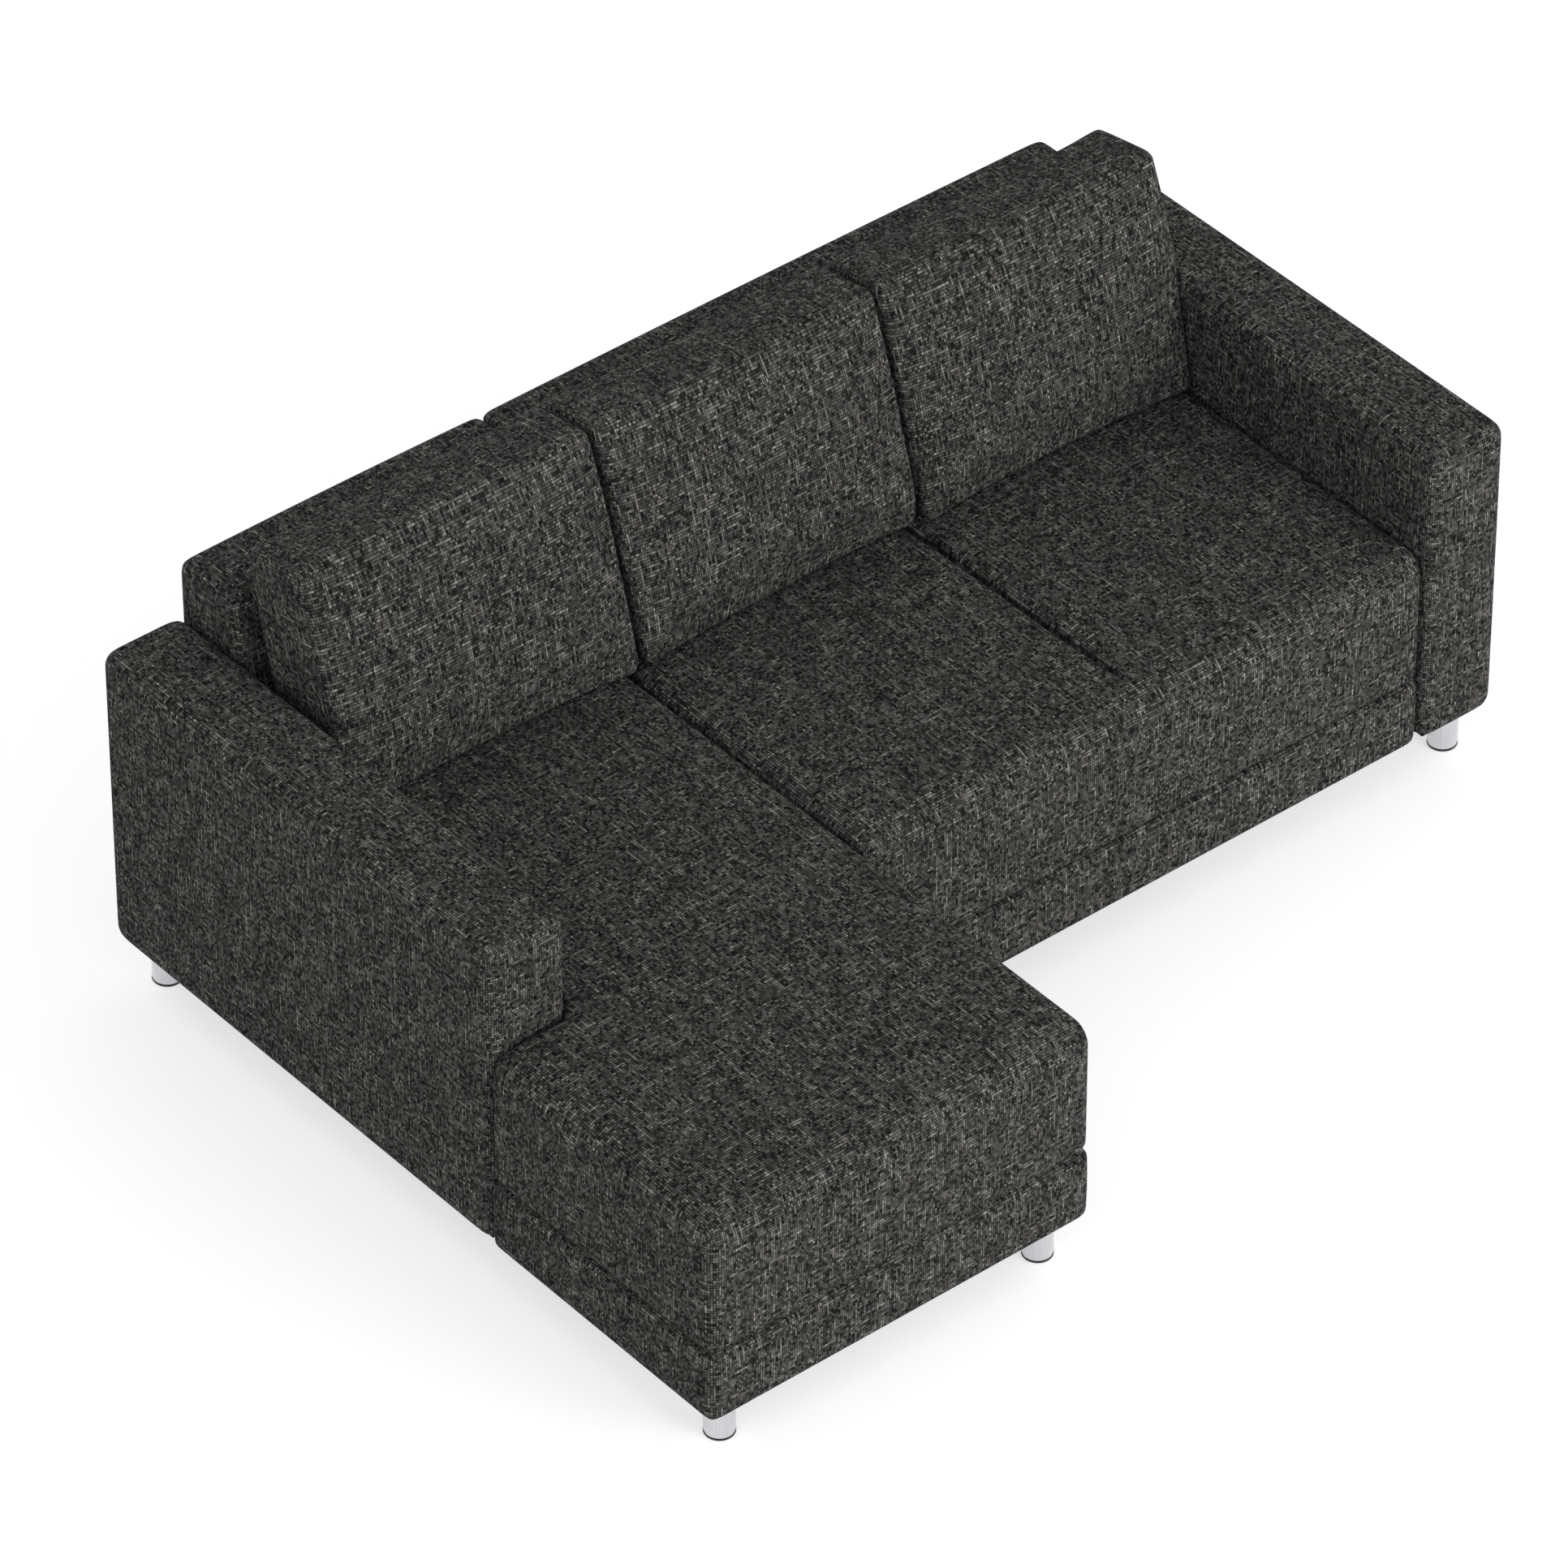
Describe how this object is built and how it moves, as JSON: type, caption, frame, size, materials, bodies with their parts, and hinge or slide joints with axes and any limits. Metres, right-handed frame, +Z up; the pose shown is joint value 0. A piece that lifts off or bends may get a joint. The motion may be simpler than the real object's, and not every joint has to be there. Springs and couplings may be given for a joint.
{
  "type": "corner sofa",
  "caption": "Corner sofa with a chaise on its left, box arms, a low leaning back, loose back cushions, woven charcoal upholstery and round chrome legs.",
  "frame": {"origin": "on the floor, under the middle of the sofa's width and of its full depth with the chaise", "axes": "+X along the back towards the right arm, +Y towards the rear, +Z up"},
  "size_m": [2.07, 1.494, 0.8742],
  "materials": {
    "upholstery": "charcoal melange plain weave, matte, with its wadding sewn in",
    "lining_cloth": "thin black non-woven dust cloth",
    "foam": null,
    "cushion_filling": null,
    "webbing": "elastic upholstery webbing",
    "glide_plastic": "moulded black plastic",
    "chrome_legs": "bright chrome plate on steel tube",
    "zinc_steel": "zinc plated steel",
    "board_panel": "hardboard",
    "frame_timber": "planed softwood and plywood, bare"
  },
  "bodies": {
    "frame": {"joining_plates": "zinc_steel", "joining_screws": "zinc_steel", "left_arm_cover": "upholstery", "left_arm_foam": "foam", "left_arm_panels": "board_panel", "left_arm_posts": "frame_timber", "left_arm_rails": "frame_timber", "left_back_cover": "upholstery", "left_back_foam": "foam", "left_back_rails": "frame_timber", "left_back_uprights": "frame_timber", "left_back_webbing": "webbing", "left_base_cross_rails": "frame_timber", "left_base_end_boards": "frame_timber", "left_base_side_boards": "frame_timber", "left_border_cover": "upholstery", "left_leg_blocks": "frame_timber", "left_legs": "chrome_legs", "left_linings": "lining_cloth", "left_seat_cover": "upholstery", "left_seat_foam": "foam", "left_seat_webbing": "webbing", "leg_glides": "glide_plastic", "leg_inserts": "zinc_steel", "leg_studs": "zinc_steel", "right_arm_cover": "upholstery", "right_arm_foam": "foam", "right_arm_panels": "board_panel", "right_arm_posts": "frame_timber", "right_arm_rails": "frame_timber", "right_back_cover": "upholstery", "right_back_foam": "foam", "right_back_rails": "frame_timber", "right_back_uprights": "frame_timber", "right_back_webbing": "webbing", "right_base_cross_rails": "frame_timber", "right_base_end_boards": "frame_timber", "right_base_side_boards": "frame_timber", "right_border_cover": "upholstery", "right_leg_blocks": "frame_timber", "right_legs": "chrome_legs", "right_linings": "lining_cloth", "right_seat_cover": "upholstery", "right_seat_foam": "foam", "right_seat_webbing": "webbing", "unit_bolts": "zinc_steel"},
    "left_back_cushion": {"left_back_cushion_core": "cushion_filling", "left_back_cushion_cover": "upholstery"},
    "middle_back_cushion": {"middle_back_cushion_core": "cushion_filling", "middle_back_cushion_cover": "upholstery"},
    "right_back_cushion": {"right_back_cushion_core": "cushion_filling", "right_back_cushion_cover": "upholstery"}
  },
  "joints": [
    {"name": "left_back_cushion_lift", "type": "slide", "parent": "frame", "child": "left_back_cushion", "axis": [0, 0, 1], "range_m": [0, 0.5]},
    {"name": "middle_back_cushion_lift", "type": "slide", "parent": "frame", "child": "middle_back_cushion", "axis": [0, 0, 1], "range_m": [0, 0.5]},
    {"name": "right_back_cushion_lift", "type": "slide", "parent": "frame", "child": "right_back_cushion", "axis": [0, 0, 1], "range_m": [0, 0.5]}
  ]
}
